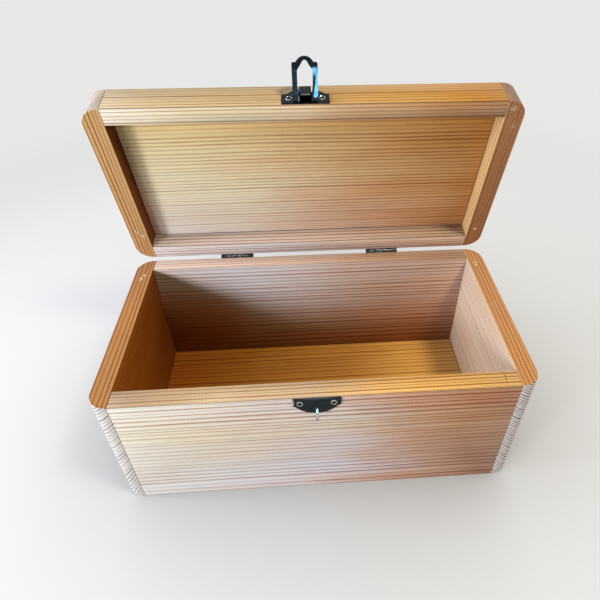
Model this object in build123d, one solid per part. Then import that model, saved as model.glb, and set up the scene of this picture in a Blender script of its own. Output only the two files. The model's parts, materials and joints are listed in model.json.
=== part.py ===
import os

from build123d import *

# Hinged keepsake box in softwood. Body and lid are sawn from one glued carcase, two rolled
# butt hinges carry the lid, and a sprung bail on the lid drops over a hook on the body.
# Millimetres, +Z up, front towards -Y, origin at the centre of the underside.
# What rides on the lid is drawn with the lid shut, then turned to its place at rest.

# Carcase, outside sizes
box_length = 300.0
box_depth = 150.0
body_height = 112.0
lid_height = 23.0
parting_gap = 0.2          # between the two rims when the lid is shut
end_board = 14.0           # end boards run the full depth
long_board = 13.0          # front and back boards stand between them
corner_radius = 13.0       # upright corners, rounded on the end boards

# Panels, let into grooves in all four boards
bottom_thickness = 8.0
top_thickness = 9.0
tongue_thickness = 4.0
tongue_setback = 2.0       # from the outer face of the panel to its tongue
tongue_reach = 5.0
groove_depth = 5.5
panel_gap = 0.4            # shadow line round the panel's field

# Butt hinges
hinge_width = 27.4
hinge_spacing = 128.0
knuckle_count = 4
knuckle_gap = 0.2
pin_diameter = 2.4
pin_clearance = 0.05       # in the lid's knuckles, the body's hold the pin tight
pin_overhang = 0.4
leaf_gauge = 1.0
leaf_reach = 10.5          # from the pin's axis to the leaf's far edge
leaf_corner = 1.0
barrel_stand_off = 0.05
barrel_clearance = 0.3     # notches round the other leaf's knuckles
curl_end_angle = 118.0     # where the rolled end stops short of its leaf
hinge_screw_spacing = 17.0
hinge_screw_drop = 6.4     # from the pin's axis to the screws

# Wood screws, countersunk in the hinges and pan-headed in the front fittings
sunk_head_diameter = 4.4
pan_head_diameter = 4.5
pan_head_top = 2.8         # across the flat of the head
pan_head_height = 0.9
sunk_head_foot = 2.4       # across the lower end of the cone
core_diameter = 2.1        # in the wood, at the bottom of a thread that is left out
core_sides = 6
screw_length = 10.0        # from the face of the metal

# Front fittings, pressed from sheet
fittings_offset = -2.0     # hinges and catch share a line just left of the middle
plate_gauge = 1.0
plate_width = 32.2
plate_corner = 0.8
plate_screw_spacing = 22.4

latch_plate_lift = 0.7     # above the lid's rim
latch_end_height = 10.6
latch_end_flat = 2.3
latch_crown_height = 16.6
latch_crown_width = 12.0
latch_screw_height = 5.4   # above the plate's lower edge

hood_width = 9.2
hood_depth = 6.8           # out from the wood
hood_mouth = 0.6           # above the plate's lower edge
hood_length = 11.2
hood_gauge = 0.8
hood_radius = 1.6

bail_pivot_height = 5.3    # above the lid's rim
bail_pivot_out = 4.0       # out from the wood
bail_side_gap = 0.4        # between a leg and the hood
bail_leg_width = 3.4
bail_gauge = 1.2
bail_ear_clearance = 0.05
bail_ear_overlap = 0.2     # past the inside of the hood's wall
bail_fold = 18.9           # pivot to the fold of the nose
bail_fold_angle = 35.0     # the nose turns outwards, for a fingertip
bail_fold_radius = 1.5
bail_taper_start = 15.7
bail_shoulder = 20.6       # pivot to the shoulders, straight down, like the two below
bail_nose = 24.0
bail_eye = 21.8
bail_eye_radius = 1.8
bail_shoulder_width = 11.6
bail_shoulder_corner = 1.0

catch_drop = 0.3           # below the body's rim
catch_end_height = 7.7
catch_end_flat = 1.9
catch_height = 15.3
catch_screw_drop = 4.5     # below the body's rim

hook_thickness = 1.8
hook_top = 1.0             # below the body's rim, like the three below
hook_root = 13.4
hook_tip = 14.6
hook_underside = 15.3
hook_reach = 7.4           # out from the wood
hook_tip_flat = 0.5
hook_sweep = 1.6           # hollow of the ramp
hook_throat = 0.5          # hollow of the underside
hook_tenon_inset = 3.0
hook_edge_chamfer = 0.45

# Pose at rest
lid_opening = 78.0
bail_swing = 110.0         # from hanging over the hook

# Worked out from the sizes above
half_length, half_depth = box_length / 2, box_depth / 2
inner_length = box_length - 2 * end_board
inner_depth = box_depth - 2 * long_board
lid_rim = body_height + parting_gap
lid_top = lid_rim + lid_height

pin_radius = pin_diameter / 2
barrel_radius = pin_radius + pin_clearance + leaf_gauge
hinge_y = half_depth + barrel_stand_off + barrel_radius
hinge_z = body_height + parting_gap / 2
hinge_centres = [fittings_offset + side * hinge_spacing / 2 for side in (-1, 1)]
lid_axis = Axis((0, hinge_y, hinge_z), (1, 0, 0))

latch_low = lid_rim + latch_plate_lift
bail_y = -half_depth - bail_pivot_out
bail_z = lid_rim + bail_pivot_height
bail_inner = hood_width / 2 + bail_side_gap
bail_outer = bail_inner + bail_leg_width
bail_axis = Axis((0, bail_y, bail_z), (1, 0, 0))


def span(x, y, z):
    # a block between two values on each axis
    block = Box(x[1] - x[0], y[1] - y[0], z[1] - z[0], align=(Align.MIN, Align.MIN, Align.MIN))
    return Pos(x[0], y[0], z[0]) * block


def across(shape_yz, low, high):
    # a (y, z) outline run along the length of the box
    return Pos(low, 0, 0) * extrude(Plane.YZ * shape_yz, high - low)


def front_sheet(shape_xz, inner, outer):
    # an (x, z) outline run out from the front face, between two distances
    plane = Plane(origin=(0, -half_depth - inner, 0), x_dir=(1, 0, 0), z_dir=(0, -1, 0))
    return extrude(plane * shape_xz, outer - inner)


def mirrored(low, high):
    # the same stretch on both sides of the middle
    return ((-high, -low), (low, high))


# Screws, driven down through the local XY plane, which is the face of the metal

def screw(top, top_radius, foot, foot_radius):
    # a tapered head, narrowing up or down, on a plain many-sided core
    side = Polyline((0, top), (top_radius, top), (foot_radius, foot), (0, foot), close=True)
    head = revolve(Plane.XZ * make_face(side), Axis.Z)
    core = extrude(RegularPolygon(core_diameter / 2, core_sides), foot + screw_length)
    return head + Pos(0, 0, -screw_length) * core


def sunk_screw():
    drop = (sunk_head_diameter - sunk_head_foot) / 2
    return screw(0, sunk_head_diameter / 2, -drop, sunk_head_foot / 2)


def pan_screw():
    return screw(pan_head_height, pan_head_top / 2, 0, pan_head_diameter / 2)


def screw_pairs(screw, turn, centres, spacing, y, z):
    xs = [centre + side * spacing / 2 for centre in centres for side in (-1, 1)]
    return [Pos(x, y, z) * Rot(turn, 0, 0) * screw for x in xs]


def back_screws(z):
    back_face = half_depth + leaf_gauge
    return screw_pairs(sunk_screw(), -90, hinge_centres, hinge_screw_spacing, back_face, z)


def front_screws(z):
    front_face = -half_depth - plate_gauge
    return screw_pairs(pan_screw(), 90, [fittings_offset], plate_screw_spacing, front_face, z)


hinge_screws_body = back_screws(hinge_z - hinge_screw_drop)
hinge_screws_lid = back_screws(hinge_z + hinge_screw_drop)
catch_screws = front_screws(body_height - catch_screw_drop)
latch_screws = front_screws(latch_low + latch_screw_height)


# Carcase

def end_piece(x, z):
    # a full-depth board whose outer upright corners are rounded
    board = span(x, (-half_depth, half_depth), z)
    uprights = board.edges().filter_by(Axis.Z).sort_by(lambda edge: abs(edge.center().X))
    return fillet(uprights[-2:], min(corner_radius, 0.95 * end_board))


def groove_ring(low):
    # the grooves of all four boards, stopped inside the end boards
    x, y = inner_length / 2 + groove_depth, inner_depth / 2 + groove_depth
    return span((-x, x), (-y, y), (low, low + tongue_thickness))


def end_boards(low, high, tongue_low):
    stretches = mirrored(half_length - end_board, half_length)
    return [end_piece(x, (low, high)) - groove_ring(tongue_low) for x in stretches]


def long_boards(low, high, tongue_low, fixings):
    x = (-inner_length / 2, inner_length / 2)
    stretches = mirrored(half_depth - long_board, half_depth)
    return [span(x, y, (low, high)) - groove_ring(tongue_low) - fixings for y in stretches]


def panel(low, high, tongue_low):
    # a field that stops short of the boards, on a tongue let into their grooves
    field_x, field_y = inner_length / 2 - panel_gap, inner_depth / 2 - panel_gap
    tongue_x, tongue_y = inner_length / 2 + tongue_reach, inner_depth / 2 + tongue_reach
    field = span((-field_x, field_x), (-field_y, field_y), (low, high))
    tongue_z = (tongue_low, tongue_low + tongue_thickness)
    return field + span((-tongue_x, tongue_x), (-tongue_y, tongue_y), tongue_z)


# Hinges

def knuckle_profile():
    # a leaf rolled round its pin, in (y, z) about the pin's axis, with the leaf downwards
    reach = 2 * barrel_radius
    lip = Vector(reach, 0, 0).rotate(Axis.Z, -curl_end_angle)
    opening = Polyline((0, 0), (-reach, 0), (-reach, -reach), (lip.X, lip.Y), close=True)
    ring = Circle(barrel_radius) - Circle(pin_radius) - make_face(opening)
    neck = barrel_radius + barrel_clearance
    strip_y = leaf_gauge / 2 - barrel_radius - barrel_stand_off
    return ring + Pos(strip_y, -neck / 2) * Rectangle(leaf_gauge, neck)


def leaf(bore_radius):
    # hangs down from the pin's axis, which lies along X through the origin
    near = -barrel_radius - barrel_stand_off
    low, high = -leaf_reach, -barrel_radius - barrel_clearance
    sheet = span((-hinge_width / 2, hinge_width / 2), (near, near + leaf_gauge), (low, high))
    sheet = fillet(sheet.edges().filter_by(Axis.Y).group_by(Axis.Z)[0], leaf_corner)
    pitch = (hinge_width + knuckle_gap) / knuckle_count
    for i in range(0, knuckle_count, 2):
        start = i * pitch - hinge_width / 2
        sheet += across(knuckle_profile(), start, start + pitch - knuckle_gap)
    return sheet - Rot(0, 90, 0) * Cylinder(bore_radius, 2 * hinge_width)


def body_leaf(centre):
    return Pos(centre, hinge_y, hinge_z) * leaf(pin_radius) - hinge_screws_body


def lid_leaf(centre):
    # the same pressing turned over, so its knuckles fall between the body leaf's
    turned = Rot(0, 180, 0) * leaf(pin_radius + pin_clearance)
    return Pos(centre, hinge_y, hinge_z) * turned - hinge_screws_lid


def hinge_pin(centre):
    pin = Cylinder(pin_radius, hinge_width + 2 * pin_overhang)
    return Pos(centre, hinge_y, hinge_z) * Rot(0, 90, 0) * pin


# Latch, on the lid

def hood_form(half_width, depth, back, radius):
    # a block out from the plate, rounded everywhere but at the plate and at its mouth
    x = (fittings_offset - half_width, fittings_offset + half_width)
    y = (-half_depth - depth, -half_depth - plate_gauge)
    form = span(x, y, (latch_low + hood_mouth, back))
    sides = form.edges().filter_by(Axis.Z).group_by(Axis.Y)[0]
    back_edges = form.faces().sort_by(Axis.Z)[-1].edges().sort_by(Axis.Y)
    return fillet(sides + back_edges[:-1], radius)


def latch_plate():
    half, crown = plate_width / 2, latch_crown_width / 2
    flat = half - latch_end_flat
    outline = Polyline(
        (-half, 0),
        (half, 0),
        (half, latch_end_height),
        (flat, latch_end_height),
        (crown, latch_crown_height),
        (-crown, latch_crown_height),
        (-flat, latch_end_height),
        (-half, latch_end_height),
        close=True,
    )
    sheet = fillet(make_face(outline).vertices(), plate_corner)
    plate = front_sheet(Pos(fittings_offset, latch_low) * sheet, 0, plate_gauge)
    back = latch_low + hood_mouth + hood_length
    hood = hood_form(hood_width / 2, hood_depth, back, hood_radius)
    hollow = hood_form(
        hood_width / 2 - hood_gauge,
        hood_depth - hood_gauge,
        back - hood_gauge,
        hood_radius - hood_gauge,
    )
    ear_hole = Rot(0, 90, 0) * Cylinder(bail_gauge / 2 + bail_ear_clearance, 2 * hood_width)
    holes = [hollow, Pos(fittings_offset, bail_y, bail_z) * ear_hole]
    return plate + hood - holes - latch_screws


def bail_front():
    # front view in (x, z) about the pivot, hanging down
    shoulder = bail_shoulder_width / 2
    blank = Pos(0, -bail_shoulder / 2) * Rectangle(2 * bail_outer, bail_shoulder)
    blank = fillet(blank.vertices().group_by(Axis.Y)[0], bail_shoulder_corner)
    chord = Line((shoulder, -bail_shoulder), (-shoulder, -bail_shoulder))
    nose = ThreePointArc((-shoulder, -bail_shoulder), (0, -bail_nose), (shoulder, -bail_shoulder))
    for side in (-1, 1):
        blank += Pos(side * (bail_inner + bail_leg_width / 2), 0) * Circle(bail_leg_width / 2)
    eye_end = Pos(0, bail_eye_radius - bail_eye) * Circle(bail_eye_radius)
    eye_start = Line((-bail_inner, -bail_taper_start), (bail_inner, -bail_taper_start))
    eye = make_hull(eye_end.edges() + [eye_start])
    slot = Pos(0, -bail_taper_start / 2) * Rectangle(2 * bail_inner, bail_taper_start)
    return blank + make_face(chord + nose) - eye - slot


def bail():
    # the side view's bent strip, cut to the front view, with an ear turned in at each end
    fall = bail_nose - bail_fold + bail_fold_radius
    lean = fall * Vector(0, -1, 0).rotate(Axis.Z, -bail_fold_angle)
    centre_line = FilletPolyline(
        (0, bail_leg_width),
        (0, -bail_fold),
        (lean.X, lean.Y - bail_fold),
        radius=bail_fold_radius,
    )
    strip = across(trace(centre_line, bail_gauge), -bail_outer, bail_outer)
    hanging = Pos(fittings_offset, bail_y, bail_z)
    front = front_sheet(Pos(fittings_offset, bail_z) * bail_front(), 0, 3 * bail_pivot_out)
    shape = (hanging * strip) & front
    ear_start = hood_width / 2 - hood_gauge - bail_ear_overlap
    ear_end = bail_inner + bail_leg_width / 4
    for low, high in mirrored(ear_start, ear_end):
        shape += hanging * across(Circle(bail_gauge / 2), low, high)
    return shape


# Catch, on the body

def hook_tenon():
    # where the hook passes through its plate
    half = hook_thickness / 2
    x = (fittings_offset - half, fittings_offset + half)
    z = (body_height - hook_root + hook_tenon_inset, body_height - hook_top - hook_tenon_inset)
    return span(x, (-half_depth - plate_gauge, -half_depth), z)


def catch_plate():
    half = plate_width / 2
    flat = half - catch_end_flat
    edges = Polyline(
        (-flat, -catch_end_height),
        (-half, -catch_end_height),
        (-half, 0),
        (half, 0),
        (half, -catch_end_height),
        (flat, -catch_end_height),
    )
    bow = ThreePointArc((flat, -catch_end_height), (0, -catch_height), (-flat, -catch_end_height))
    sheet = make_face(edges + bow)
    sheet = fillet(sheet.vertices(), plate_corner)
    placed = Pos(fittings_offset, body_height - catch_drop) * sheet
    return front_sheet(placed, 0, plate_gauge) - hook_tenon() - catch_screws


def catch_hook():
    # a horn that flares into a ramp for the bail to ride over, hollowed underneath
    root = -half_depth - plate_gauge
    tip = -half_depth - hook_reach
    top, toe = (root, body_height - hook_top), (root, body_height - hook_root)
    point = (tip, body_height - hook_tip)
    heel = (tip + hook_tip_flat, body_height - hook_underside)
    ramp = SagittaArc(top, point, hook_sweep)
    throat = SagittaArc(heel, toe, hook_throat)
    profile = make_face(ramp + Line(point, heel) + throat + Line(toe, top))
    low, high = fittings_offset - hook_thickness / 2, fittings_offset + hook_thickness / 2
    horn = across(profile, low, high)
    outer = horn.faces().filter_by(Axis.X).edges().filter_by(lambda edge: edge.center().Y < root)
    return chamfer(outer, hook_edge_chamfer) + hook_tenon()


# Every piece, with the ones on the lid still shut

bottom_tongue = tongue_setback
top_tongue = lid_top - tongue_setback - tongue_thickness
body_ends = end_boards(0, body_height, bottom_tongue)
body_longs = long_boards(0, body_height, bottom_tongue, hinge_screws_body + catch_screws)
lid_ends = end_boards(lid_rim, lid_top, top_tongue)
lid_longs = long_boards(lid_rim, lid_top, top_tongue, hinge_screws_lid + latch_screws)

on_body = {
    "left_end_board": body_ends[0],
    "right_end_board": body_ends[1],
    "front_board": body_longs[0],
    "back_board": body_longs[1],
    "bottom_panel": panel(0, bottom_thickness, bottom_tongue),
    "catch_plate": catch_plate(),
    "catch_hook": catch_hook(),
    "catch_screws": Compound(children=catch_screws),
    "hinge_screws_body": Compound(children=hinge_screws_body),
}
on_lid = {
    "lid_left_rail": lid_ends[0],
    "lid_right_rail": lid_ends[1],
    "lid_front_rail": lid_longs[0],
    "lid_back_rail": lid_longs[1],
    "lid_panel": panel(lid_top - top_thickness, lid_top, top_tongue),
    "latch_plate": latch_plate(),
    "latch_bail": bail().rotate(bail_axis, -bail_swing),
    "latch_screws": Compound(children=latch_screws),
    "hinge_screws_lid": Compound(children=hinge_screws_lid),
}
for side, centre in zip(("left", "right"), hinge_centres):
    on_body[side + "_hinge_body_leaf"] = body_leaf(centre)
    on_body[side + "_hinge_pin"] = hinge_pin(centre)
    on_lid[side + "_hinge_lid_leaf"] = lid_leaf(centre)

os.makedirs("parts", exist_ok=True)
for node, shape in on_body.items():
    export_step(shape, f"parts/{node}.step")
for node, shape in on_lid.items():
    export_step(shape.rotate(lid_axis, -lid_opening), f"parts/{node}.step")
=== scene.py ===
# Hinged keepsake box in softwood, with black pressed fittings.
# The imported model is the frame, and every visible piece here is worked up from one of its nodes.

import json
import math

import bmesh
import bpy
from mathutils import Matrix, Vector


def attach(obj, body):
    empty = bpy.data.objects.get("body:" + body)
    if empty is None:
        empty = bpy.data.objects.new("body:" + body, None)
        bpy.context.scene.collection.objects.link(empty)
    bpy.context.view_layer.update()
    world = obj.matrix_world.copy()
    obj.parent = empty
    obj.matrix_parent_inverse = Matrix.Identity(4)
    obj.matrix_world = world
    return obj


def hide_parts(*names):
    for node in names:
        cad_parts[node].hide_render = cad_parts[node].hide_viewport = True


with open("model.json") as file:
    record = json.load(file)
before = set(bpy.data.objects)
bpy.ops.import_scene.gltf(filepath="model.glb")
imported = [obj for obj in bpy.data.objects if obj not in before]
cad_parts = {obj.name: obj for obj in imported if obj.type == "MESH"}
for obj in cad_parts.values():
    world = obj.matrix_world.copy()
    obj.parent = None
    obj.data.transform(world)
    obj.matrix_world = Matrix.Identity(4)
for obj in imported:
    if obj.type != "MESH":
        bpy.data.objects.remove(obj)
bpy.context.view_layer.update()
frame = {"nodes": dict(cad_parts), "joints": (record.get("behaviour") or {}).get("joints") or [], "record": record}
nodes = frame["nodes"]
scene = bpy.context.scene
scene.view_settings.view_transform = "Standard"

mm = 0.001
lidHinge = next(joint for joint in frame["joints"] if joint["name"] == "lid_hinge")
lidTurn = -math.radians(lidHinge["range_deg"][0])  # back from the open pose to shut


# Node helpers

def link(tree, value, socket):
    if isinstance(value, bpy.types.NodeSocket):
        tree.links.new(value, socket)
    else:
        socket.default_value = value


def add(tree, kind, settings=None, **values):
    # inputs are given by name, with _ for a space, or by place as i0, i1
    made = tree.nodes.new(kind)
    for name, value in (settings or {}).items():
        setattr(made, name, value)
    for name, value in values.items():
        key = int(name[1:]) if name[1:].isdigit() else name.replace("_", " ")
        link(tree, value, made.inputs[key])
    return made


def sums(tree, operation, first, second=0.0, third=0.0):
    made = add(tree, "ShaderNodeMath", {"operation": operation}, i0=first, i1=second, i2=third)
    return made.outputs[0]


def vectors(tree, operation, first, second=(0, 0, 0)):
    made = add(tree, "ShaderNodeVectorMath", {"operation": operation}, i0=first, i1=second)
    return made.outputs["Value" if operation == "LENGTH" else "Vector"]


def scaled(tree, vector, factor):
    return add(tree, "ShaderNodeVectorMath", {"operation": "SCALE"}, i0=vector, Scale=factor).outputs[0]


def split(tree, vector):
    return add(tree, "ShaderNodeSeparateXYZ", Vector=vector).outputs


def remap(tree, value, low, high, toLow=0.0, toHigh=1.0, smooth=False):
    kind = "SMOOTHSTEP" if smooth else "LINEAR"
    made = add(tree, "ShaderNodeMapRange", {"interpolation_type": kind}, Value=value,
               From_Min=low, From_Max=high, To_Min=toLow, To_Max=toHigh)
    return made.outputs["Result"]


def blend(tree, amount, first, second, way="MIX"):
    kinds = {"data_type": "RGBA", "blend_type": way}
    return add(tree, "ShaderNodeMix", kinds, i0=amount, i6=first, i7=second).outputs[2]


def times(tree, first, second):
    return blend(tree, 1.0, first, second, "MULTIPLY")


def shades(tree, amount, colours):
    # evenly spaced colours from one end to the other
    made = tree.nodes.new("ShaderNodeValToRGB")
    ramp = made.color_ramp
    for place in range(1, len(colours) - 1):
        ramp.elements.new(place / (len(colours) - 1))
    for element, colour in zip(ramp.elements, colours):
        element.color = (*colour, 1)
    ramp.elements[-1].position = 1.0
    link(tree, amount, made.inputs["Fac"])
    return made.outputs["Color"]


def noise(tree, vector, seed, detail, rough, scale=1.0, stretch=(1, 1, 1)):
    # a 4D noise whose last axis is the piece's seed
    at = vectors(tree, "MULTIPLY", vector, stretch)
    return add(tree, "ShaderNodeTexNoise", {"noise_dimensions": "4D"}, Vector=at, W=seed,
               Scale=scale, Detail=detail, Roughness=rough).outputs


def swing(tree, value, reach):
    # a noise about a half, brought to plus or minus its reach
    return sums(tree, "MULTIPLY", sums(tree, "SUBTRACT", value, 0.5), 2 * reach)


def principled(name):
    material = bpy.data.materials.new(name)
    material.use_nodes = True
    tree = material.node_tree
    return material, tree, tree.nodes["Principled BSDF"]


# Softwood: growth rings round a heart outside the board, in millimetres with the grain along X.
# A pair is where something starts and is full, or its least and its most.

woodLook = {
    "bow": 1.0,                 # how far the rings wander along a board
    "waver": 0.25,              # and their fine unevenness
    "ringSway": 0.5,            # uneven ring widths, in rings
    "swayPace": 0.3,
    "lateRise": (0.32, 0.88),   # a ring's late wood, by how far through the ring it comes
    "lateCurve": 1.8,
    "lateEnd": (0.93, 1.0),
    "yearly": (0.45, 1.2),      # how dark it is, from ring to ring
    "patchy": (0.7, 1.15),      # and from place to place
    "patchEdge": (0.25, 0.75),
    "fibre": 0.5,
    "pores": 0.16,
    "streak": 0.16,             # paler and darker bands along the grain
    "warmEdge": (0.34, 0.66),
    "drift": 0.08,              # how far warm patches push the shades along a board
    "planerPitch": 2.3,         # ripples left by the planer
    "planerSlip": 9.0,
    "planerEdge": (0.46, 0.64),
    "planerMark": 0.035,
    "heights": {"planed": 0.15, "fibre": 0.8, "late": 0.5},
    "bump": 0.35,
    "bumpDepth": 0.12,
    "faceEdge": (0.5, 0.7),     # how squarely a surface faces before it takes that face's shades
    "endEdge": (0.25, 0.6),
    "lateGloss": 0.1,
    "specular": 0.15,
}
grainNoise = {                  # scale along and across the grain, detail and roughness
    "bow": (0.005, 0.016, 1.0, 0.5),
    "waver": (0.03, 0.35, 2.0, 0.5),
    "patches": (0.025, 0.3, 2.0, 0.6),
    "fibre": (0.06, 2.4, 3.0, 0.65),
    "pores": (0.9, 2.2, 1.0, 0.5),
    "streaks": (0.008, 0.55, 2.0, 0.6),
    "warmth": (0.009, 0.035, 2.0, 0.5),
    "planed": (0.02, 0.04, 1.0, 0.5),
    "slip": (0.09, 0.05, 1.0, 0.5),
}


def grain(tree, given, name, output=0):
    along, across, detail, rough = grainNoise[name]
    return noise(tree, given["Board"], given["Seed"], detail, rough, stretch=(along, across, across))[output]


def wandering(tree, given, name):
    # a sideways shift of the rings
    shift = vectors(tree, "SUBTRACT", grain(tree, given, name, "Color"), (0.5, 0.5, 0.5))
    return vectors(tree, "MULTIPLY", shift, (0, 2 * woodLook[name], 2 * woodLook[name]))


def ringCount(tree, given):
    # how many rings lie between a place and the heart
    across = vectors(tree, "SUBTRACT", given["Board"], given["Heart"])
    for name in ("bow", "waver"):
        across = vectors(tree, "ADD", across, wandering(tree, given, name))
    radius = vectors(tree, "LENGTH", vectors(tree, "MULTIPLY", across, (0, 1, 1)))
    rings = sums(tree, "DIVIDE", radius, given["Pitch"])
    pace = sums(tree, "MULTIPLY_ADD", rings, woodLook["swayPace"], given["Seed"])
    sway = add(tree, "ShaderNodeTexNoise", {"noise_dimensions": "1D"}, W=pace,
               Scale=1.0, Detail=1.0, Roughness=0.5).outputs[0]
    return sums(tree, "ADD", swing(tree, sway, woodLook["ringSway"]), rings)


def lateWood(tree, given):
    # pale early wood darkens slowly to late wood, which ends sharply
    rings = ringCount(tree, given)
    phase = sums(tree, "FRACT", rings)
    year = sums(tree, "ADD", sums(tree, "FLOOR", rings), given["Seed"])
    chance = add(tree, "ShaderNodeTexWhiteNoise", {"noise_dimensions": "1D"}, W=year).outputs["Value"]
    patches = grain(tree, given, "patches")
    late = sums(tree, "POWER", remap(tree, phase, *woodLook["lateRise"], smooth=True), woodLook["lateCurve"])
    for share in (remap(tree, phase, *woodLook["lateEnd"], 1.0, 0.0, smooth=True),
                  remap(tree, chance, 0, 1, *woodLook["yearly"]),
                  remap(tree, patches, *woodLook["patchEdge"], *woodLook["patchy"])):
        late = sums(tree, "MULTIPLY", late, share)
    return late


def planedRipple(tree, given):
    # ripples left by the planer, across the grain, only here and there
    slip = sums(tree, "MULTIPLY", grain(tree, given, "slip"), woodLook["planerSlip"])
    turns = 2 * math.pi / woodLook["planerPitch"]
    ripple = sums(tree, "SINE", sums(tree, "MULTIPLY_ADD", split(tree, given["Board"])["X"], turns, slip))
    return sums(tree, "MULTIPLY", ripple, remap(tree, grain(tree, given, "planed"), *woodLook["planerEdge"]))


def ringGroup():
    tree = bpy.data.node_groups.new("softwood rings", "ShaderNodeTree")
    for name, kind in (("Board", "Vector"), ("Heart", "Vector"), ("Pitch", "Float"), ("Seed", "Float")):
        tree.interface.new_socket(name, in_out="INPUT", socket_type="NodeSocket" + kind)
    for name in ("Late", "Tone", "Fibre", "Planed", "Height"):
        tree.interface.new_socket(name, in_out="OUTPUT", socket_type="NodeSocketFloat")
    given = tree.nodes.new("NodeGroupInput").outputs
    late = lateWood(tree, given)
    planed = planedRipple(tree, given)
    fibre = swing(tree, grain(tree, given, "fibre"), woodLook["fibre"])
    fleck = sums(tree, "ADD", fibre, swing(tree, grain(tree, given, "pores"), woodLook["pores"]))
    fleck = sums(tree, "ADD", fleck, swing(tree, grain(tree, given, "streaks"), woodLook["streak"]))
    tone = remap(tree, grain(tree, given, "warmth"), *woodLook["warmEdge"])
    high = woodLook["heights"]
    height = sums(tree, "MULTIPLY", planed, high["planed"])
    height = sums(tree, "MULTIPLY_ADD", fibre, high["fibre"], height)
    height = sums(tree, "MULTIPLY_ADD", late, high["late"], height)
    add(tree, "NodeGroupOutput", Late=late, Tone=tone, Fibre=fleck, Planed=planed, Height=height)
    return tree


ringTree = ringGroup()


def turnFor(alongY, onLid):
    # turns a point so that the board lies as in the shut box, with its grain along X
    turn = Matrix.Rotation(-math.pi / 2, 3, "Z") if alongY else Matrix.Identity(3)
    return turn @ Matrix.Rotation(lidTurn, 3, "X") if onLid else turn


def boardSize(node, turn):
    places = [turn @ v.co for v in nodes[node].data.vertices]
    low = Vector(min(p[i] for p in places) for i in range(3))
    high = Vector(max(p[i] for p in places) for i in range(3))
    return (low + high) / 2 / mm, (high - low) / mm


def outward(tree, facing, face):
    # how squarely the surface looks along a direction such as "+Z"
    return facing[face[1]] if face[0] == "+" else sums(tree, "MULTIPLY", facing[face[1]], -1.0)


def earlyWood(tree, look, size, place, facing, rings):
    # the ground colour runs from end to end, on each face in its own shades
    drift = woodLook["drift"]
    drift = sums(tree, "MULTIPLY_ADD", rings["Tone"], 2 * drift, -drift)
    along = sums(tree, "ADD", remap(tree, place["X"], -size.x / 2, size.x / 2), drift)
    ground = shades(tree, along, look["shades"])
    for face, colours in look["faces"].items():
        out = remap(tree, outward(tree, facing, face), *woodLook["faceEdge"], smooth=True)
        ground = blend(tree, out, ground, shades(tree, along, colours))
    if look["lean"]:
        axis, colours = look["lean"]
        reach = size["XYZ".index(axis)] / 2
        over = sums(tree, "ADD", remap(tree, place[axis], -reach, reach), drift)
        halved = [tuple(c / 2 for c in colour) for colour in colours]  # a ramp's colours stop at 1
        ground = times(tree, ground, scaled(tree, shades(tree, over, halved), 2.0))
    ground = blend(tree, rings["Tone"], ground, times(tree, ground, (*look["tint"], 1)))
    fleck = sums(tree, "MULTIPLY_ADD", rings["Fibre"], look["fibre"], 1.0)
    fleck = sums(tree, "MULTIPLY_ADD", rings["Planed"], woodLook["planerMark"], fleck)
    return scaled(tree, ground, fleck), along


def softwood(node, look, turn):
    middle, size = boardSize(node, turn)
    angles = tuple(turn.to_euler("XYZ"))
    material, tree, shader = principled("softwood " + node.replace("_", " "))
    where = add(tree, "ShaderNodeTexCoord").outputs
    board = add(tree, "ShaderNodeMapping", {"vector_type": "POINT"}, Vector=where["Object"],
                Location=tuple(-middle), Rotation=angles, Scale=(1 / mm,) * 3).outputs[0]
    facing = add(tree, "ShaderNodeMapping", {"vector_type": "VECTOR"}, Vector=where["Normal"],
                 Rotation=angles).outputs[0]
    facing = split(tree, facing)
    rings = add(tree, "ShaderNodeGroup", {"node_tree": ringTree}, Board=board, Heart=look["heart"],
                Pitch=look["pitch"], Seed=look["seed"]).outputs
    ground, along = earlyWood(tree, look, size, split(tree, board), facing, rings)
    amount = sums(tree, "MULTIPLY", rings["Late"], remap(tree, along, 0, 1, *look["line"]))
    long = blend(tree, amount, ground, times(tree, ground, (*look["late"], 1)))

    # end grain is bleached, with thin dark rings
    endOn = remap(tree, sums(tree, "ABSOLUTE", facing["X"]), *woodLook["endEdge"], smooth=True)
    endLate = sums(tree, "MULTIPLY", rings["Late"], look["endLine"])
    colour = blend(tree, endOn, long, blend(tree, endLate, (*look["end"], 1), (*look["endLate"], 1)))
    for mark in look["marks"]:
        colour = marked(tree, where["Object"], colour, mark, look["seed"])
    link(tree, colour, shader.inputs["Base Color"])
    rough = sums(tree, "MULTIPLY_ADD", rings["Late"], -woodLook["lateGloss"], look["rough"])
    link(tree, rough, shader.inputs["Roughness"])
    bump = add(tree, "ShaderNodeBump", Height=rings["Height"], Strength=woodLook["bump"],
               Distance=woodLook["bumpDepth"] * mm)
    link(tree, bump.outputs[0], shader.inputs["Normal"])
    shader.inputs["Specular IOR Level"].default_value = woodLook["specular"]
    return material


# Marks, each with a middle and a reach in millimetres, how broken up it is, and its colour: rubbed and scored
# places, dark gap lines, and some painted shade and painted highlights

markLook = {"edge": (0.4, 1.0), "grit": 420.0, "gritNoise": (3.0, 0.7), "softness": 0.12}
wornWood = (0.83, 0.76, 0.66)
crackDark = (0.10, 0.045, 0.025)


def markOrPaintedLight(at, reach, strength=0.8, broken=0.47, colour=wornWood):
    return {"at": at, "reach": reach, "strength": strength, "broken": broken, "colour": colour}


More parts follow.
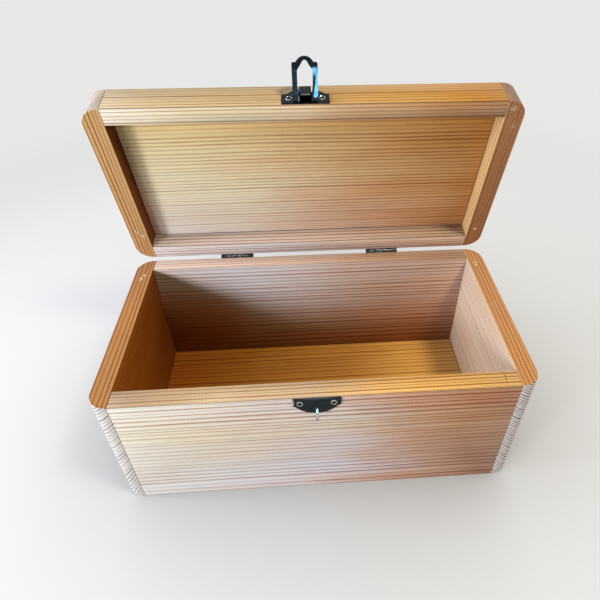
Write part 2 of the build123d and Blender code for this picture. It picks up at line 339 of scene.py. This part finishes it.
def marked(tree, place, colour, mark, seed):
    off = vectors(tree, "SUBTRACT", place, tuple(c * mm for c in mark["at"]))
    off = vectors(tree, "DIVIDE", off, tuple(r * mm for r in mark["reach"]))
    near = remap(tree, vectors(tree, "LENGTH", off), *markLook["edge"], 1.0, 0.0, smooth=True)
    grit = noise(tree, place, seed, *markLook["gritNoise"], markLook["grit"])[0]
    grit = remap(tree, grit, mark["broken"], mark["broken"] + markLook["softness"])
    near = sums(tree, "MULTIPLY", near, grit)
    return blend(tree, sums(tree, "MULTIPLY", near, mark["strength"]), colour, (*mark["colour"], 1))


def heart(tilt, distance, ySide, zSide):
    # where the tree's heart lay from the board's middle, by the tilt of the rings
    tilt = math.radians(tilt)
    return (0, ySide * distance * math.cos(tilt), zSide * distance * math.sin(tilt))


# Each board's own wood, with the grain along X: the colours of its early wood from end to end (left to
# right, or front to back on the end boards), other faces' colours, a lean of colour across the board,
# the tint of its warm patches, what late wood multiplies it by, and how strong that is at each end

commonWood = {
    "alongY": False, "pitch": 2.1, "faces": {}, "lean": None, "marks": (),
    "tint": (1.0, 0.93, 0.84), "late": (0.52, 0.33, 0.25), "line": (1.1, 1.2), "fibre": 0.4, "rough": 0.58,
    "end": (0.62, 0.61, 0.61), "endLate": (0.15, 0.13, 0.15), "endLine": 1.1,
}
boards = {
    "front_board": {
        "shades": [(0.56, 0.46, 0.34), (0.48, 0.28, 0.15)],
        "faces": {"-Y": [(0.47, 0.47, 0.44), (0.53, 0.52, 0.51), (0.59, 0.565, 0.61), (0.56, 0.37, 0.28),
                         (0.42, 0.21, 0.128)],
                  "+Z": [(0.30, 0.20, 0.10), (0.51, 0.41, 0.28), (0.55, 0.45, 0.33), (0.88, 0.62, 0.27),
                         (0.90, 0.65, 0.28)]},
        "lean": ("Z", [(1.13, 1.17, 1.34), (1.07, 1.11, 1.24), (1.0, 1.02, 1.08), (1.0, 1.0, 1.02),
                       (1.0, 0.98, 0.86), (1.01, 1.01, 0.99), (1.05, 1.07, 1.14)]),
        "heart": heart(29, 520, 1, -1), "seed": 3.1, "line": (0.75, 1.5),
        # a dark line across the rim near its right end
        "marks": [markOrPaintedLight((126.3, -67.4, 112), (0.6, 7.5, 2), 0.6, 0.25, (0.20, 0.09, 0.04))],
    },
    "back_board": {
        "shades": [(0.60, 0.46, 0.34), (0.55, 0.36, 0.24)],
        # the inside face's darker left end is painted shade, where the left end board's shadow falls
        "faces": {"-Y": [(0.34, 0.29, 0.27), (0.43, 0.43, 0.49), (0.48, 0.45, 0.49), (0.50, 0.39, 0.38),
                         (0.58, 0.41, 0.36)],
                  "+Z": [(0.48, 0.39, 0.36), (0.49, 0.40, 0.37), (0.43, 0.28, 0.22)]},
        # the lean is painted shade: darker and browner towards the bottom, for the front board's shadow inside the
        # box
        "lean": ("Z", [(0.76, 0.40, 0.17), (0.92, 0.76, 0.62), (1.0, 1.0, 1.02), (1.05, 1.09, 1.16)]),
        "heart": heart(30, 560, 1, -1), "seed": 11.7,
        # painted shadow: a dark brown over the lower left of the inside, where the left end board's shadow falls
        "marks": [markOrPaintedLight((-120, 62, 45), (80, 4, 52), 0.7, -1.0, (0.33, 0.115, 0.012))],
    },
    "left_end_board": {
        "shades": [(0.42, 0.235, 0.105), (0.45, 0.245, 0.105), (0.35, 0.19, 0.10)],
        # the inside face is painted shade: deep dark brown, darkest at the back
        "faces": {"-Y": [(0.44, 0.17, 0.025), (0.17, 0.045, 0.005)]},
        "heart": heart(36, 300, -1, -1), "seed": 23.4,
        "alongY": True, "pitch": 2.3, "end": (0.49, 0.485, 0.49),
        "marks": [markOrPaintedLight((-143.5, 51, 112), (2.2, 3.4, 2)), markOrPaintedLight((-141.5, 55, 112), (3.4, 2.4, 2))],
    },
    "right_end_board": {
        "shades": [(0.58, 0.32, 0.14), (0.57, 0.33, 0.18), (0.51, 0.285, 0.14)],
        "faces": {"+Y": [(0.70, 0.63, 0.56), (0.68, 0.60, 0.52)]},
        "heart": heart(42, 230, 1, -1), "seed": 31.9,
        "alongY": True, "pitch": 1.9, "end": (0.67, 0.67, 0.78), "endLine": 1.5,
        "marks": [markOrPaintedLight((141.6, 54, 112), (2.6, 4.0, 2))],
    },
    "bottom_panel": {
        # painted shade and light: near black-brown at the left end, in the left end board's shadow, and paler
        # golden towards the right, where the light falls
        "shades": [(0.30, 0.10, 0.015), (0.36, 0.165, 0.03), (0.50, 0.27, 0.07), (0.69, 0.43, 0.13),
                   (0.74, 0.47, 0.17)],
        "heart": heart(60, 520, -1, 1), "seed": 42.6, "pitch": 2.2, "line": (1.0, 1.0),
    },
}
lidBoards = {
    "lid_front_rail": {
        "shades": [(0.60, 0.52, 0.38), (0.50, 0.30, 0.14)],
        "faces": {"-Z": [(0.52, 0.51, 0.45), (0.53, 0.50, 0.37), (0.63, 0.55, 0.42), (0.55, 0.345, 0.20),
                         (0.43, 0.225, 0.115)],
                  "-Y": [(0.49, 0.43, 0.30), (0.54, 0.46, 0.32), (0.59, 0.49, 0.34), (0.66, 0.45, 0.18),
                         (0.63, 0.335, 0.06)]},
        "heart": heart(42, 480, -1, -1), "seed": 51.3,
    },
    "lid_back_rail": {
        "shades": [(0.60, 0.46, 0.34), (0.55, 0.36, 0.24)],
        "faces": {"-Z": [(0.53, 0.54, 0.60), (0.61, 0.57, 0.60), (0.92, 0.72, 0.64)],
                  "-Y": [(0.46, 0.42, 0.44), (0.49, 0.43, 0.44), (0.46, 0.36, 0.33)]},
        "heart": heart(40, 480, 1, -1), "seed": 64.8,
    },
    "lid_left_rail": {
        "shades": [(0.49, 0.32, 0.15), (0.51, 0.31, 0.14)],
        # the inside face is painted shade: almost black-brown
        "faces": {"-Y": [(0.14, 0.035, 0.004), (0.17, 0.05, 0.008)]},
        "heart": heart(36, 300, -1, -1), "seed": 72.5,
        "alongY": True, "pitch": 2.3, "end": (0.56, 0.52, 0.50),
        "marks": [markOrPaintedLight((-143.4, 70, 146.4), (2.0, 2, 3.4)), markOrPaintedLight((-140, 71, 141.4), (3.2, 2, 2.2))],
    },
    "lid_right_rail": {
        "shades": [(0.36, 0.19, 0.095), (0.36, 0.175, 0.085)],
        "faces": {"+Y": [(0.68, 0.50, 0.26), (0.66, 0.49, 0.26)]},
        "heart": heart(36, 300, 1, -1), "seed": 83.2,
        "alongY": True, "end": (0.40, 0.28, 0.25), "endLine": 1.3,
        "marks": [markOrPaintedLight((140.5, 47, 255), (3.0, 2, 3.0), 0.4), markOrPaintedLight((144.7, 50, 241.7), (2.0, 2, 3.4), 0.4),
                  markOrPaintedLight((141.5, 72.4, 135.7), (2.4, 2, 3.2))],
    },
    "lid_panel": {
        "shades": [(0.81, 0.82, 0.69), (0.79, 0.76, 0.60), (0.73, 0.585, 0.41), (0.64, 0.41, 0.22),
                   (0.48, 0.255, 0.085)],
        "faces": {"+Z": [(0.58, 0.47, 0.33), (0.56, 0.42, 0.27), (0.52, 0.34, 0.19)]},
        # the lean is painted shade and light: darker and golden along the front rail, in its shadow, and paler
        # towards the hinge
        "lean": ("Y", [(0.74, 0.55, 0.27), (0.89, 0.83, 0.65), (1.0, 1.0, 0.94), (1.06, 1.03, 1.12),
                       (1.13, 1.11, 1.38)]),
        "heart": heart(59, 620, -1, -1), "seed": 95.7, "pitch": 1.7, "line": (0.62, 1.05),
        "marks": [markOrPaintedLight((-89.7, 88, 129.6), (3.4, 2, 0.9), 0.9, 0.35),
                  markOrPaintedLight((53.6, 88.8, 126.6), (1.0, 2, 0.8), 0.9, 0.2),
                  markOrPaintedLight((114.4, 88.4, 129), (9, 2, 1.0), 0.9, 0.45),
                  markOrPaintedLight((0, 87.9, 130.0), (300, 1.3, 1.3), 0.85, 0.3, crackDark),
                  markOrPaintedLight((136.2, 75, 190), (0.9, 200, 200), 0.8, 0.36, crackDark),
                  markOrPaintedLight((0, 62, 251), (300, 1.2, 1.2), 0.5, 0.3, crackDark)],
    },
}
woodwork = {
    "arris": 0.45,        # rounding of the boards' edges, in millimetres
    "panelArris": 0.2,
    "jointWidth": 0.22,   # the dark hairline where two boards meet
    "jointColour": (0.05, 0.022, 0.012),
    "jointRough": 0.9,
    "steps": 3,
    "sharp": 60.0,
    "field": 0.1,         # how near a panel's face is to the highest or lowest of it
    "flatness": 0.9,
    "corner": 1.0,        # how sharp an edge has to be to count as a corner, in radians
}


def jointMaterial(look):
    material, _, shader = principled("joint line")
    shader.inputs["Base Color"].default_value = (*look["jointColour"], 1)
    shader.inputs["Roughness"].default_value = look["jointRough"]
    return material


jointLine = jointMaterial(woodwork)


# Pieces from the frame's nodes

merging = {"distance": 0.001, "level": 0.01, "flat": 0.5}  # in millimetres, and degrees for flat


def mergedCopy(node):
    # the node's loose triangles joined up, with flat faces made whole again
    shape = bmesh.new()
    shape.from_mesh(nodes[node].data)
    bmesh.ops.remove_doubles(shape, verts=shape.verts[:], dist=merging["distance"] * mm)
    bmesh.ops.dissolve_limit(shape, angle_limit=math.radians(merging["flat"]), verts=shape.verts[:],
                             edges=shape.edges[:])
    return shape


def newPiece(mesh):
    piece = bpy.data.objects.new(mesh.name, mesh)
    scene.collection.objects.link(piece)
    return piece


slots = {}
for row in frame["record"]["materials"]:
    for node in row.get("nodes", []):
        slots[node] = row["slot"]


def slotOf(node):
    names = [m.name for m in nodes[node].data.materials if m]
    return slots.get(node) or names[0].split(".")[0]


def settle(piece, body, slotName, standsFor):
    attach(piece, body)
    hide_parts(*standsFor)


def finishPiece(shape, node, body, materials, rounding, steps, sharp):
    mesh = bpy.data.meshes.new(node + "_visual")
    for face in shape.faces:
        face.smooth = True
    shape.to_mesh(mesh)
    shape.free()
    for material in materials:
        mesh.materials.append(material)
    piece = newPiece(mesh)
    mesh.set_sharp_from_angle(angle=math.radians(sharp))
    bevel = piece.modifiers.new("rounded edges", "BEVEL")
    bevel.width = rounding * mm
    bevel.segments = steps
    bevel.limit_method = "ANGLE"
    bevel.angle_limit = math.radians(sharp)
    bevel.harden_normals = True
    bevel.use_clamp_overlap = True
    settle(piece, body, slotOf(node), [node])


def darkenEnds(shape):
    # a fine dark chamfer on the ends that butt against the end boards
    reach = max(abs(v.co.x) for v in shape.verts)
    near = merging["level"] * mm
    ends = [e for e in shape.edges if all(abs(abs(v.co.x) - reach) < near for v in e.verts)
            and len(e.link_faces) == 2 and e.calc_face_angle(0) > woodwork["corner"]]
    bmesh.ops.bevel(shape, geom=ends, offset=woodwork["jointWidth"] * mm, offset_type="OFFSET", segments=1,
                    profile=0.5, affect="EDGES", clamp_overlap=True, material=1)


def darkenGap(shape, turn):
    # all of a panel is dark but the two faces of its field, so the gap round it reads as a line
    up = turn.inverted() @ Vector((0, 0, 1))
    heights = [v.co.dot(up) for v in shape.verts]
    low, high = min(heights), max(heights)
    for face in shape.faces:
        height = face.calc_center_median().dot(up)
        level = abs(face.normal.dot(up)) > woodwork["flatness"]
        if not (level and min(height - low, high - height) < woodwork["field"] * mm):
            face.material_index = 1


def makeBoard(node, look, body):
    shape = mergedCopy(node)
    turn = turnFor(look["alongY"], body == "lid")
    rounding = woodwork["arris"]
    if "panel" in node:
        darkenGap(shape, turn)
        rounding = woodwork["panelArris"]
    elif not look["alongY"]:
        darkenEnds(shape)
    materials = [softwood(node, look, turn), jointLine]
    finishPiece(shape, node, body, materials, rounding, woodwork["steps"], woodwork["sharp"])


for node, look in boards.items():
    makeBoard(node, {**commonWood, **look}, "box")
for node, look in lidBoards.items():
    makeBoard(node, {**commonWood, **look}, "lid")
print("boards and panels made")


# Black pressed metal with bright steel patches: painted highlights on the catch plate, hood and hinges, a bright
# patch on the hook's ramp, and screw heads rubbed bright where they are handled

metalLook = {
    "colour": (0.012, 0.018, 0.021), "paler": 1.7, "paleEdge": (0.35, 0.7), "steel": (0.62, 0.61, 0.59),
    "rough": 0.13, "mottle": 0.05, "mottleSize": 260.0, "mottleSeed": 5.0,
    "mottleEdge": (0.3, 0.7), "mottleNoise": (3.0, 0.6), "grainNoise": (2.0, 0.6),
    "bump": 0.1, "bumpDepth": 0.02, "grainSize": 900.0, "grainSeed": 9.0, "grainStretch": (1, 1, 0.3),
}


def blackMetal(name, worn=(), rubbedHeads=False, **changes):
    look = {**metalLook, **changes}
    material, tree, shader = principled(name)
    place = add(tree, "ShaderNodeTexCoord").outputs["Object"]
    mottle = noise(tree, place, look["mottleSeed"], *look["mottleNoise"], look["mottleSize"])[0]
    grit = noise(tree, place, look["grainSeed"], *look["grainNoise"], look["grainSize"],
                 look["grainStretch"])[0]
    pale = tuple(look["paler"] * c for c in look["colour"])
    base = blend(tree, remap(tree, mottle, *look["paleEdge"]), (*look["colour"], 1), (*pale, 1))
    for mark in worn:
        base = marked(tree, place, base, mark, look["mottleSeed"])
    if rubbedHeads:
        bare = add(tree, "ShaderNodeAttribute", {"attribute_name": "bare"}).outputs["Fac"]
        base = blend(tree, bare, base, (*look["steel"], 1))
    link(tree, base, shader.inputs["Base Color"])
    low, high = look["rough"] - look["mottle"], look["rough"] + look["mottle"]
    link(tree, remap(tree, mottle, *look["mottleEdge"], low, high), shader.inputs["Roughness"])
    bump = add(tree, "ShaderNodeBump", Height=grit, Strength=look["bump"], Distance=look["bumpDepth"] * mm)
    link(tree, bump.outputs[0], shader.inputs["Normal"])
    shader.inputs["Metallic"].default_value = 1.0
    return material


# a patch of bright steel, used below for painted highlights and for the hook's bright ramp
def brightSteelPatch(at, reach, strength, broken):
    return markOrPaintedLight(at, reach, strength, broken, metalLook["steel"])


bailMetal = blackMetal("smooth black metal", rough=0.07, mottle=0.02, bump=0.04)
# a bright steel patch down the hook's ramp
hookMetal = blackMetal("worn black metal", [brightSteelPatch((-2, -80.2, 101), (1.5, 3.6, 8.5), 0.85, 0.15)])
# painted highlights: bright steel on the catch plate's upper left corner, and faintly along its top edge
plateMetal = blackMetal("black metal with painted highlights", [brightSteelPatch((-18.2, -76, 108), (1.6, 2.5, 5.5), 0.85, 0.12),
                                               brightSteelPatch((-2, -76, 112), (17, 2, 0.9), 0.12, 0.3)])
# painted highlights on the edge of the hood's mouth and down its left side
hoodMetal = blackMetal("edge-worn black metal", [brightSteelPatch((-2, 45.7, 268.6), (6.8, 1.1, 0.9), 0.75, 0.2),
                                                 brightSteelPatch((-6.5, 46.4, 265.5), (0.5, 1.4, 3.6), 0.6, 0.3)])
# painted highlights along the top of the hinge knuckles
hingeMetal = blackMetal("hinge black metal", [brightSteelPatch((-66, 75.6, 113.6), (15, 1.6, 1.4), 0.5, 0.42),
                                              brightSteelPatch((62, 75.6, 113.6), (15, 1.6, 1.4), 0.5, 0.42)])
fittings = {  # body, metal, and the rounding of its edges in millimetres
    "catch_plate": ("box", plateMetal, 0.25),
    "catch_hook": ("box", hookMetal, 0.25),
    "latch_plate": ("lid", hoodMetal, 0.25),
    "latch_bail": ("bail", bailMetal, 0.25),
    "left_hinge_body_leaf": ("box", hingeMetal, 0.12),
    "right_hinge_body_leaf": ("box", hingeMetal, 0.12),
    "left_hinge_lid_leaf": ("lid", hingeMetal, 0.12),
    "right_hinge_lid_leaf": ("lid", hingeMetal, 0.12),
    "left_hinge_pin": ("box", hingeMetal, 0.2),
    "right_hinge_pin": ("box", hingeMetal, 0.2),
}
fittingEdges = {"steps": 3, "sharp": 40.0}
for node, (body, metal, rounding) in fittings.items():
    finishPiece(mergedCopy(node), node, body, [metal], rounding, fittingEdges["steps"],
                fittingEdges["sharp"])
print("fittings made")


# Cross-head screws, one tree for all of them, set on the places of the plain ones

screwLook = {
    "pan": {"Rim": 4.5, "Crown": 4.0, "Head": 0.9, "Dome": 0.55, "Sink": 0.0},
    "sunk": {"Rim": 2.4, "Crown": 4.4, "Head": 1.0, "Dome": 0.12, "Sink": 1.0},
    "both": {"Shank": 2.0, "Length": 9.8, "Slot": 0.62, "Slot Length": 2.7, "Slot Depth": 0.7,
             "Bright": 0.75, "Seed": 7},
}
screwMesh = {"headSides": 40, "sideRows": 2, "topRows": 6, "shankSides": 20, "topAbove": 0.9,
             "rubEdge": (0.62, 0.95), "rubAbove": 0.12, "sharp": 35.0}
screwSets = {  # kind, body, and the way the heads face when the box is shut
    "catch_screws": ("pan", "box", (0, -1, 0)),
    "latch_screws": ("pan", "lid", (0, -1, 0)),
    "hinge_screws_body": ("sunk", "box", (0, 1, 0)),
    "hinge_screws_lid": ("sunk", "lid", (0, 1, 0)),
}
screwMetal = blackMetal("screw metal", rubbedHeads=True)


def upBy(tree, height):
    return add(tree, "ShaderNodeCombineXYZ", Z=height).outputs[0]


def half(tree, value):
    return sums(tree, "MULTIPLY", value, 0.5)


def above(tree, given, height, share):
    # 1 where a point is higher than a share of the head
    return sums(tree, "GREATER_THAN", height, sums(tree, "MULTIPLY", given["Head"], share))


def screwHead(tree, given):
    # a taper whose top is pushed up into a shallow dome
    head = add(tree, "GeometryNodeMeshCone", Vertices=screwMesh["headSides"],
               Side_Segments=screwMesh["sideRows"], Fill_Segments=screwMesh["topRows"],
               Radius_Top=half(tree, given["Crown"]), Radius_Bottom=half(tree, given["Rim"]),
               Depth=given["Head"]).outputs["Mesh"]
    here = add(tree, "GeometryNodeInputPosition").outputs[0]
    flat = vectors(tree, "LENGTH", vectors(tree, "MULTIPLY", here, (1, 1, 0)))
    share = sums(tree, "DIVIDE", flat, half(tree, given["Crown"]))
    height = split(tree, here)["Z"]
    fall = sums(tree, "MULTIPLY", sums(tree, "MULTIPLY", share, share), given["Dome"])
    fall = sums(tree, "MULTIPLY", fall, above(tree, given, height, screwMesh["topAbove"]))
    drop = sums(tree, "MULTIPLY", fall, -1.0)
    head = add(tree, "GeometryNodeSetPosition", Geometry=head, Offset=upBy(tree, drop)).outputs[0]
    # bright where the driver and the thumb rub
    rubbed = remap(tree, share, *screwMesh["rubEdge"], smooth=True)
    rubbed = sums(tree, "MULTIPLY", rubbed, above(tree, given, height, screwMesh["rubAbove"]))
    return head, sums(tree, "MULTIPLY", rubbed, given["Bright"])


def carveCross(tree, given, head):
    # two crossed slots cut out of the head
    deep = sums(tree, "MULTIPLY", given["Slot Depth"], 2.0)
    cross = tree.nodes.new("GeometryNodeMeshBoolean")
    cross.operation = "UNION"
    for sides in (("Slot Length", "Slot"), ("Slot", "Slot Length")):
        size = add(tree, "ShaderNodeCombineXYZ", X=given[sides[0]], Y=given[sides[1]], Z=deep).outputs[0]
        cube = add(tree, "GeometryNodeMeshCube", Size=size).outputs["Mesh"]
        slot = add(tree, "GeometryNodeTransform", Geometry=cube, Translation=upBy(tree, given["Head"]))
        tree.links.new(slot.outputs[0], cross.inputs["Mesh 2"])
    carved = tree.nodes.new("GeometryNodeMeshBoolean")
    carved.operation = "DIFFERENCE"
    tree.links.new(head, carved.inputs["Mesh 1"])
    tree.links.new(cross.outputs["Mesh"], carved.inputs["Mesh 2"])
    return carved.outputs["Mesh"]


def oneScrew(tree, given):
    head, bare = screwHead(tree, given)
    head = carveCross(tree, given, head)
    head = add(tree, "GeometryNodeStoreNamedAttribute", {"data_type": "FLOAT", "domain": "POINT"},
               Geometry=head, Name="bare", Value=bare).outputs["Geometry"]
    shank = add(tree, "GeometryNodeMeshCylinder", Vertices=screwMesh["shankSides"],
                Radius=half(tree, given["Shank"]), Depth=given["Length"]).outputs["Mesh"]
    under = sums(tree, "MULTIPLY", given["Length"], -0.5)
    shank = add(tree, "GeometryNodeTransform", Geometry=shank, Translation=upBy(tree, under)).outputs[0]
    join = tree.nodes.new("GeometryNodeJoinGeometry")
    tree.links.new(head, join.inputs[0])
    tree.links.new(shank, join.inputs[0])
    sunk = sums(tree, "MULTIPLY", given["Sink"], -mm)
    return add(tree, "GeometryNodeTransform", Geometry=join.outputs[0], Translation=upBy(tree, sunk),
               Scale=(mm, mm, mm)).outputs[0]


def screwTree():
    tree = bpy.data.node_groups.new("cross-head screws", "GeometryNodeTree")
    kinds = {"Geometry": "Geometry"}
    for name in {**screwLook["pan"], **screwLook["both"]}:
        kinds[name] = "Int" if name == "Seed" else "Float"
    kinds.update(Turn="Rotation", Material="Material")
    for name, kind in kinds.items():
        tree.interface.new_socket(name, in_out="INPUT", socket_type="NodeSocket" + kind)
    tree.interface.new_socket("Geometry", in_out="OUTPUT", socket_type="NodeSocketGeometry")
    given = tree.nodes.new("NodeGroupInput").outputs
    screw = oneScrew(tree, given)
    placed = add(tree, "GeometryNodeInstanceOnPoints", Points=given["Geometry"], Instance=screw,
                 Rotation=given["Turn"]).outputs[0]
    # each one driven home at its own angle
    spin = add(tree, "FunctionNodeRandomValue", {"data_type": "FLOAT"}, i2=0.0, i3=math.pi,
               Seed=given["Seed"]).outputs[1]
    turned = add(tree, "GeometryNodeRotateInstances", Instances=placed, Rotation=upBy(tree, spin))
    real = add(tree, "GeometryNodeRealizeInstances", Geometry=turned.outputs[0])
    done = add(tree, "GeometryNodeSetMaterial", Geometry=real.outputs[0], Material=given["Material"])
    add(tree, "NodeGroupOutput", i0=done.outputs[0])
    return tree


screws = screwTree()


def looseParts(shape):
    left = list(shape.verts)
    while left:
        island, edge = {left[0]}, [left[0]]
        while edge:
            for joined in edge.pop().link_edges:
                fresh = [v for v in joined.verts if v not in island]
                island.update(fresh)
                edge.extend(fresh)
        left = [v for v in left if v not in island]
        yield island


def screwPlaces(node, out):
    # the middle of each screw's outer face, from the loose parts of the plain ones
    shape = mergedCopy(node)
    places = []
    for island in looseParts(shape):
        top = max(v.co.dot(out) for v in island)
        rim = [v.co for v in island if v.co.dot(out) > top - merging["level"] * mm]
        places.append(sum(rim, Vector()) / len(rim))
    shape.free()
    return sorted(places, key=lambda p: p.x)


def makeScrews(node, kind, body, out):
    look = {**screwLook["both"], **screwLook[kind]}
    out = Vector(out)
    if body == "lid":
        out = Matrix.Rotation(-lidTurn, 3, "X") @ out
    lift = (look["Head"] if kind == "pan" else 0.0) * mm
    mesh = bpy.data.meshes.new(node + " places")
    mesh.from_pydata([p - out * lift for p in screwPlaces(node, out)], [], [])
    holder = newPiece(mesh)
    maker = holder.modifiers.new("screws", "NODES")
    maker.node_group = screws
    inputs = {s.name: s.identifier for s in screws.interface.items_tree if s.in_out == "INPUT"}
    for name, value in look.items():
        maker[inputs[name]] = value
    maker[inputs["Turn"]] = tuple(out.to_track_quat("Z", "Y").to_euler())
    maker[inputs["Material"]] = screwMetal
    bpy.context.view_layer.update()
    made = bpy.data.meshes.new_from_object(holder.evaluated_get(bpy.context.evaluated_depsgraph_get()))
    holder.modifiers.remove(maker)
    bpy.data.objects.remove(holder)
    made.name = node + "_visual"
    for face in made.polygons:
        face.use_smooth = True
    made.set_sharp_from_angle(angle=math.radians(screwMesh["sharp"]))
    settle(newPiece(made), body, slotOf(node), [node])


for node, (kind, body, out) in screwSets.items():
    makeScrews(node, kind, body, out)
print("screws made")


# Floor, light and camera

floorLook = {
    "reach": 6.0,
    "colour": (0.80, 0.80, 0.79),
    "shown": (0.25, 0.27, 0.315),    # what takes the lamps' shadows, and how far out it has faded
    "shownFade": (0.25, 0.7),
    "white": (1, 1, 0.995),
    "near": 0.62, "far": 0.80,       # how bright the white is by the box and far from it
    "glowFade": (0.25, 0.8),
    "under": 0.1,                    # and close against the box
    "contact": 0.32, "contactEdge": (0.4, 1.0), "shadeFrom": (1.35, -0.25, 1.0), "samples": 16,
}


def seen(tree):
    # 1 for what the camera sees, directly, mirrored or through glass
    rays = add(tree, "ShaderNodeLightPath").outputs
    both = sums(tree, "MAXIMUM", rays["Is Camera Ray"], rays["Is Glossy Ray"])
    return sums(tree, "MAXIMUM", both, rays["Is Transmission Ray"])


def floorMaterial(look):
    # the camera sees an even white with the shadows in it, and the box is lit by a plain pale floor
    material, tree, shader = principled("pale floor")
    away = vectors(tree, "LENGTH", add(tree, "ShaderNodeTexCoord").outputs["Object"])
    glow = remap(tree, away, *look["glowFade"], look["near"], look["far"], smooth=True)
    shadeFrom = tuple(Vector(look["shadeFrom"]).normalized())
    # painted contact shadow: ambient occlusion darkens the white round the box, tilted so that it falls mostly on
    # the box's left
    clear = add(tree, "ShaderNodeAmbientOcclusion", {"samples": look["samples"]}, Distance=look["contact"],
                Normal=shadeFrom).outputs["AO"]
    glow = remap(tree, clear, *look["contactEdge"], look["under"], glow)
    fade = blend(tree, remap(tree, away, *look["shownFade"], smooth=True), (*look["shown"], 1), (0, 0, 0, 1))
    shown = add(tree, "ShaderNodeBsdfDiffuse", Color=fade)
    light = add(tree, "ShaderNodeEmission", Color=(*look["white"], 1), Strength=glow)
    both = add(tree, "ShaderNodeAddShader", i0=shown.outputs[0], i1=light.outputs[0])
    plain = add(tree, "ShaderNodeBsdfDiffuse", Color=(*look["colour"], 1))
    mix = add(tree, "ShaderNodeMixShader", i0=seen(tree), i1=plain.outputs[0], i2=both.outputs[0])
    link(tree, mix.outputs[0], tree.nodes["Material Output"].inputs["Surface"])
    tree.nodes.remove(shader)
    return material


def makeFloor(look):
    mesh = bpy.data.meshes.new("floor")
    r = look["reach"]
    mesh.from_pydata([(-r, -r, 0), (r, -r, 0), (r, r, 0), (-r, r, 0)], [], [(0, 1, 2, 3)])
    mesh.materials.append(floorMaterial(look))
    floor = newPiece(mesh)


lights = {
    "key": {"at": (-0.70, -0.62, 0.39), "aim": (0.0, 0.0, 0.08), "size": 0.2, "power": 5.4,
            "colour": (1.0, 0.985, 0.96)},
    "side": {"at": (-0.95, -0.05, 0.44), "aim": (0.0, 0.0, 0.08), "size": 0.3, "power": 9.0,
             "colour": (1.0, 0.99, 0.99)},
    "front": {"at": (-0.62, -1.05, 0.18), "aim": (0.0, 0.0, 0.14), "size": 0.26, "power": 2.0,
              "colour": (1.0, 1.0, 1.0)},
    "back": {"at": (0.45, 1.25, 0.30), "aim": (0.0, 0.0, 0.12), "size": 0.5, "power": 5.0,
             "colour": (1.0, 1.0, 1.0)},
    "top": {"at": (0.42, -0.30, 1.15), "aim": (0.10, 0.0, 0.1), "size": 0.2, "power": 9.0,
            "colour": (1.0, 0.80, 0.46)},
}
skyCard = {"at": (0.094, -1.15, 0.215), "aim": (0.0, 0.0, 0.3), "size": 0.16, "power": 3.6,
           "colour": (0.30, 0.70, 1.0)}
worldLook = {"fill": (0.95, 0.975, 1.0), "fillStrength": 0.04, "shown": (0.84, 0.84, 0.84)}


def makeLamp(name, look):
    lamp = bpy.data.lights.new(name, "AREA")
    lamp.shape = "SQUARE"
    lamp.size = look["size"]
    lamp.energy = look["power"]
    lamp.color = look["colour"]
    holder = bpy.data.objects.new(name, lamp)
    scene.collection.objects.link(holder)
    holder.location = look["at"]
    way = Vector(look["aim"]) - Vector(look["at"])
    holder.rotation_euler = way.to_track_quat("-Z", "Y").to_euler()
    return holder


def makeWorld(look):
    world = bpy.data.worlds.new("studio")
    scene.world = world
    world.use_nodes = True
    tree = world.node_tree
    tree.nodes.clear()
    fill = add(tree, "ShaderNodeBackground", Color=(*look["fill"], 1), Strength=look["fillStrength"])
    white = add(tree, "ShaderNodeBackground", Color=(*look["shown"], 1), Strength=1.0)
    mix = add(tree, "ShaderNodeMixShader", i0=seen(tree), i1=fill.outputs[0], i2=white.outputs[0])
    add(tree, "ShaderNodeOutputWorld", Surface=mix.outputs[0])


view = {
    "at": (-5.375, -273.745, 386.819),          # in millimetres
    "turn": (52.522949, -0.363829, -3.956618),  # in degrees
    "lens": 29.95, "sensor": 36.0,
    "shift": (-0.0588, -0.0870),
    "clip": (0.01, 50.0),
}


def makeCamera(look):
    data = bpy.data.cameras.new("camera")
    data.lens = look["lens"]
    data.sensor_width = look["sensor"]
    data.shift_x, data.shift_y = look["shift"]
    data.clip_start, data.clip_end = look["clip"]
    data.dof.use_dof = False
    camera = bpy.data.objects.new("camera", data)
    scene.collection.objects.link(camera)
    camera.location = Vector(look["at"]) * mm
    camera.rotation_euler = [math.radians(angle) for angle in look["turn"]]
    scene.camera = camera


makeFloor(floorLook)
for name, look in lights.items():
    makeLamp(name, look)
makeLamp("sky card", skyCard).visible_diffuse = False  # only mirrored in the metal
makeWorld(worldLook)
makeCamera(view)
print("floor, lights and camera set")

bpy.context.view_layer.update()
